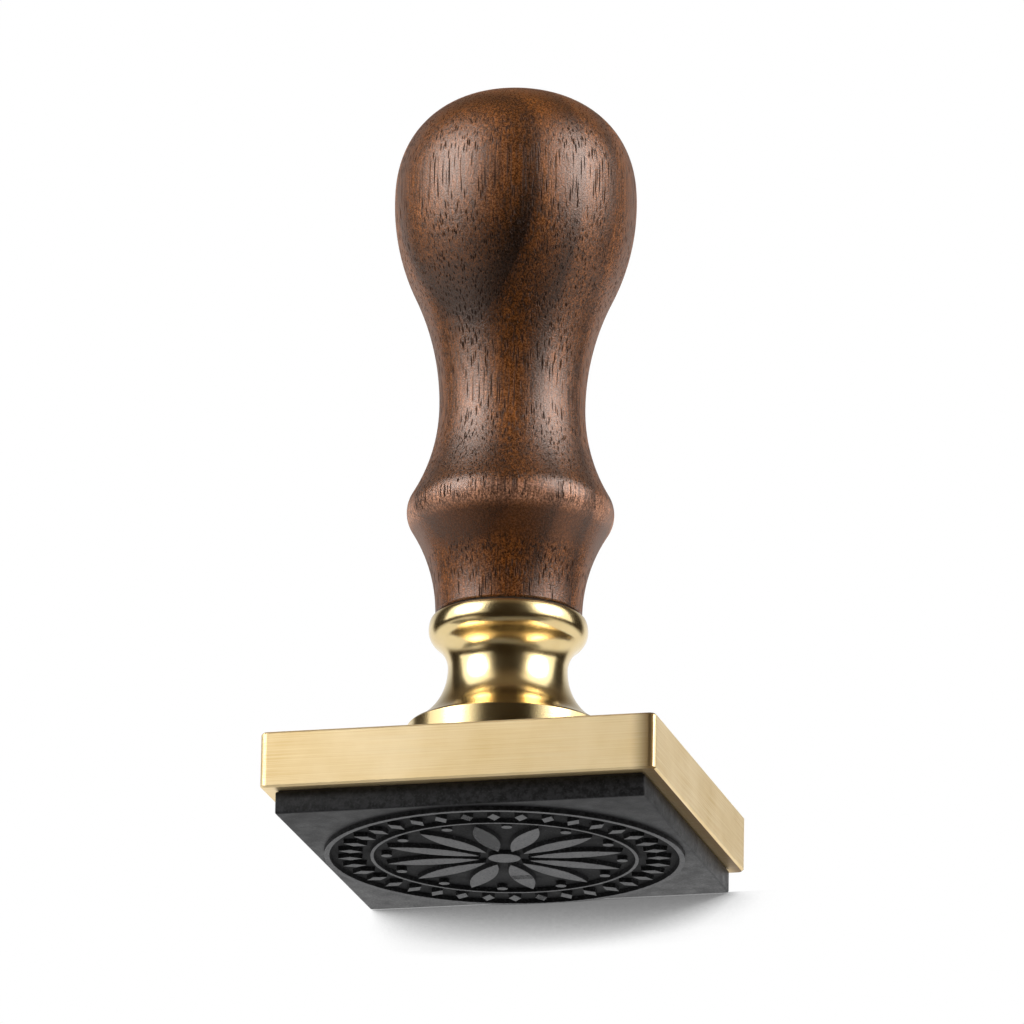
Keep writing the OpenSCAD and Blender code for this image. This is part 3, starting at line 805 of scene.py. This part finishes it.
def setCamera():
    s = cameraView
    a, e, roll = cameraTurn, math.radians(s["elevation"]), math.radians(s["roll"])
    back = Vector((math.sin(a) * math.cos(e), -math.cos(a) * math.cos(e), math.sin(e)))
    right = Vector((math.cos(a), math.sin(a), 0))
    up = back.cross(right)
    rolledRight = right * math.cos(roll) + up * math.sin(roll)
    rolledUp = up * math.cos(roll) - right * math.sin(roll)
    target = right * s["aside"] + Vector((0, 0, s["height"]))
    data = bpy.data.cameras.new("camera")
    data.sensor_width = s["sensor"]
    data.lens = s["sensor"] * s["focalPixels"] / s["imagePixels"]
    data.clip_start, data.clip_end = s["clip"]
    camera = bpy.data.objects.new("camera", data)
    bpy.context.scene.collection.objects.link(camera)
    camera.matrix_world = Matrix((rolledRight, rolledUp, back)).transposed().to_4x4()
    camera.location = target + back * s["distance"]
    bpy.context.scene.camera = camera


# Soft boxes stand upright at both sides, by their turn from the camera in degrees. Each glows most round
# a core below its middle, has a dimmer rim and fades towards the camera's side
softBoxes = {
    "leftSoftBox": {"turn": -64, "fade": (1.0, 0.62)},
    "rightSoftBox": {"turn": 64, "fade": (0.0, 0.38)},
}
boxShape = {
    "away": 0.45, "width": 0.71, "lowEdge": 0.09, "topEdge": 0.85, "watts": 16.7,
    "coreAt": (0.5, 0.32, 0), "coreOver": (0.3, 0.19), "rim": 0.16,
}


def setLamps():
    s = boxShape
    for name, box in softBoxes.items():
        turn = math.radians(cameraView["azimuth"] + box["turn"])
        way = Vector((math.sin(turn), -math.cos(turn), 0))
        data = bpy.data.lights.new(name, "AREA")
        data.shape, data.energy = "RECTANGLE", s["watts"]
        data.size, data.size_y = s["width"], s["topEdge"] - s["lowEdge"]
        tree = emptyTree(data)
        panel = addNode(tree, "ShaderNodeNewGeometry")
        parts = addNode(tree, "ShaderNodeSeparateXYZ", {0: panel.outputs["Parametric"]})
        across = addNode(tree, "ShaderNodeMapRange", {0: parts.outputs[0], **span(*box["fade"])}, **soft)
        flat = addNode(tree, "ShaderNodeCombineXYZ", {0: parts.outputs[0], 1: parts.outputs[1]})
        off = addNode(tree, "ShaderNodeVectorMath", {0: flat, 1: s["coreAt"]}, operation="DISTANCE")
        core = addNode(tree, "ShaderNodeMapRange", {
            0: off.outputs["Value"], **span(*s["coreOver"], s["rim"], 1.0),
        }, **soft)
        strength = addNode(tree, "ShaderNodeMath", {0: across, 1: core}, operation="MULTIPLY")
        light = addNode(tree, "ShaderNodeEmission", {"Strength": strength})
        addNode(tree, "ShaderNodeOutputLight", {0: light})
        lamp = bpy.data.objects.new(name, data)
        bpy.context.scene.collection.objects.link(lamp)
        lamp.location = way * s["away"] + Vector((0, 0, (s["lowEdge"] + s["topEdge"]) / 2))
        lamp.rotation_euler = (-way).to_track_quat("-Z", "Y").to_euler()
        lamp.visible_camera = False


# The room: white behind the stamp, pale paper at its sides, and dim and warm in front and above,
# as the metal shows. Each part has its light, and the height or cosine of the turn over which it comes in
roomLook = {
    "front": 0.022, "dim": "#ffd9a0", "warmTo": 0.4,
    "rear": 1.0, "rearOver": (-0.65, -0.8), "rearFall": (0.75, 0.25),
    "ceiling": 0.14, "ceilingOver": (0.62, 0.92),
    "floor": 1.0, "floorOver": (-0.02, -0.25), "floorAside": (0.8, 0.45),
}


def setWorld():
    s = roomLook
    world = bpy.data.worlds.new("studio")
    bpy.context.scene.world = world
    tree = emptyTree(world)
    ahead = (math.sin(cameraTurn), -math.cos(cameraTurn), 0)
    way = addNode(tree, "ShaderNodeTexCoord").outputs["Generated"]
    path = addNode(tree, "ShaderNodeLightPath")
    height = addNode(tree, "ShaderNodeSeparateXYZ", {0: way}).outputs[2]
    towards = addNode(tree, "ShaderNodeVectorMath", {0: way, 1: ahead}, operation="DOT_PRODUCT")
    level = addNode(tree, "ShaderNodeVectorMath", {0: way, 1: (1, 1, 0)}, operation="MULTIPLY")
    heading = addNode(tree, "ShaderNodeVectorMath", {0: level}, operation="NORMALIZE")
    turned = addNode(tree, "ShaderNodeVectorMath", {0: heading, 1: ahead}, operation="DOT_PRODUCT")
    rear = addNode(tree, "ShaderNodeMapRange", {
        0: turned.outputs["Value"], **span(*s["rearOver"], s["front"], s["rear"]),
    }, **soft)
    low = addNode(tree, "ShaderNodeMapRange", {0: height, **span(*s["rearFall"])})
    behind = addNode(tree, "ShaderNodeMath", {0: rear, 1: low}, operation="MULTIPLY")
    above = addNode(tree, "ShaderNodeMapRange", {
        0: height, **span(*s["ceilingOver"], s["front"], s["ceiling"]),
    }, **soft)
    below = addNode(tree, "ShaderNodeMapRange", {0: height, **span(*s["floorOver"], 0, s["floor"])}, **soft)
    aside = addNode(tree, "ShaderNodeMapRange", {
        0: towards.outputs["Value"], **span(*s["floorAside"]),
    }, **soft)
    paper = addNode(tree, "ShaderNodeMath", {0: below, 1: aside}, operation="MULTIPLY")
    walls = addNode(tree, "ShaderNodeMath", {0: behind, 1: above}, operation="MAXIMUM")
    room = addNode(tree, "ShaderNodeMath", {0: walls, 1: paper}, operation="MAXIMUM")
    seen = addNode(tree, "ShaderNodeMix", {0: path.outputs["Is Camera Ray"], 2: room, 3: 1.0})
    lit = addNode(tree, "ShaderNodeMapRange", {0: seen, **span(s["front"], s["warmTo"])})
    tint = addNode(tree, "ShaderNodeMix", {0: lit, 6: s["dim"], 7: "#ffffff"}, data_type="RGBA")
    light = addNode(tree, "ShaderNodeBackground", {"Color": tint.outputs[2], "Strength": seen})
    addNode(tree, "ShaderNodeOutputWorld", {0: light})


# A sheet between a front and a rear edge, each given by its depth and height
def newSheet(name, half, front, rear, material):
    points = [(-half, *front), (half, *front), (half, *rear), (-half, *rear)]
    sheet = newPiece(name, points, faces=[(0, 1, 2, 3)])
    sheet.data.materials.append(material)
    return sheet


# White paper that only the camera sees, from its upper side, with the stamp's shadow on it
floorLook = {
    "reach": 3.0, "colour": 0.8, "glow": 0.42, "whiteOver": (0.09, 0.2), "slope": 25.0, "contact": 0.0007,
    "tuck": 0.0008, "shadowReach": 0.05, "shadowOver": (0.15, 0.5), "deepest": 0.17, "sway": 0.6,
}


def paperFloor(name, contactOnly):
    s = floorLook
    material = bpy.data.materials.new(name)
    tree = emptyTree(material)
    facing = addNode(tree, "ShaderNodeNewGeometry")
    if contactOnly:
        # A painted shadow: the glowing paper darkens under the tipped stamp as the gap above it closes
        # and more to the right, away from the stronger light
        leant = addNode(tree, "ShaderNodeVectorMath", {
            0: facing.outputs["Normal"],
            1: (-s["sway"] * math.cos(cameraTurn), -s["sway"] * math.sin(cameraTurn), 0),
        })
        gap = addNode(tree, "ShaderNodeAmbientOcclusion", {
            "Distance": s["shadowReach"], "Normal": leant,
        }, samples=16)
        light = addNode(tree, "ShaderNodeMapRange", {
            0: gap.outputs["AO"], **span(*s["shadowOver"], s["deepest"], 1.0),
        })
        sheet = addNode(tree, "ShaderNodeEmission", {"Strength": light})
    else:
        path = addNode(tree, "ShaderNodeLightPath")
        place = addNode(tree, "ShaderNodeTexCoord")
        away = addNode(tree, "ShaderNodeVectorMath", {0: place.outputs["Object"]}, operation="LENGTH")
        far = addNode(tree, "ShaderNodeMapRange", {0: away.outputs["Value"], **span(*s["whiteOver"])})
        paper = addNode(tree, "ShaderNodeBsdfDiffuse", {"Color": [s["colour"]] * 3 + [1]})
        glow = addNode(tree, "ShaderNodeEmission", {"Strength": s["glow"]})
        white = addNode(tree, "ShaderNodeEmission", {"Strength": path.outputs["Is Camera Ray"]})
        near = addNode(tree, "ShaderNodeAddShader", {0: paper, 1: glow})
        sheet = addNode(tree, "ShaderNodeMixShader", {0: far, 1: near, 2: white})
    clear = addNode(tree, "ShaderNodeBsdfTransparent")
    oneSided = addNode(tree, "ShaderNodeMixShader", {0: facing.outputs["Backfacing"], 1: sheet, 2: clear})
    addNode(tree, "ShaderNodeOutputMaterial", {0: oneSided})
    return material


# One sheet is level. The other slopes down from the die's rear edge, because the stamp is tipped back
def setFloor():
    s = floorLook
    reach, edge = s["reach"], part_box("rubber_die")[1].y
    fall = math.tan(math.radians(s["slope"]))
    front, rear = ((y, s["contact"] + fall * (y - edge)) for y in (-reach, edge + s["tuck"]))
    sheets = {"levelFloor": (False, (-reach, 0), (reach, 0)), "slopedFloor": (True, front, rear)}
    for name, (contactOnly, frontEdge, rearEdge) in sheets.items():
        floor = newSheet(name, reach, frontEdge, rearEdge, paperFloor(name + "Paper", contactOnly))
        floor.visible_diffuse = floor.visible_glossy = False
        floor.visible_transmission = floor.visible_shadow = False


# The paper just in front of the stamp, seen in reflections only
frontLook = {"near": 0.031, "far": 0.078, "width": 0.3, "glow": 0.2}


def setFrontPaper():
    s = frontLook
    material = bpy.data.materials.new("frontPaper")
    tree = emptyTree(material)
    glow = addNode(tree, "ShaderNodeEmission", {"Strength": s["glow"]})
    addNode(tree, "ShaderNodeOutputMaterial", {0: glow})
    paper = newSheet("frontPaper", s["width"] / 2, (-s["far"], 0), (-s["near"], 0), material)
    paper.visible_camera = paper.visible_diffuse = False
    paper.visible_transmission = paper.visible_shadow = False


setCamera()
setLamps()
setWorld()
setFloor()
setFrontPaper()
bpy.context.scene.view_settings.view_transform = "Standard"
print("camera, lamps and floor set")
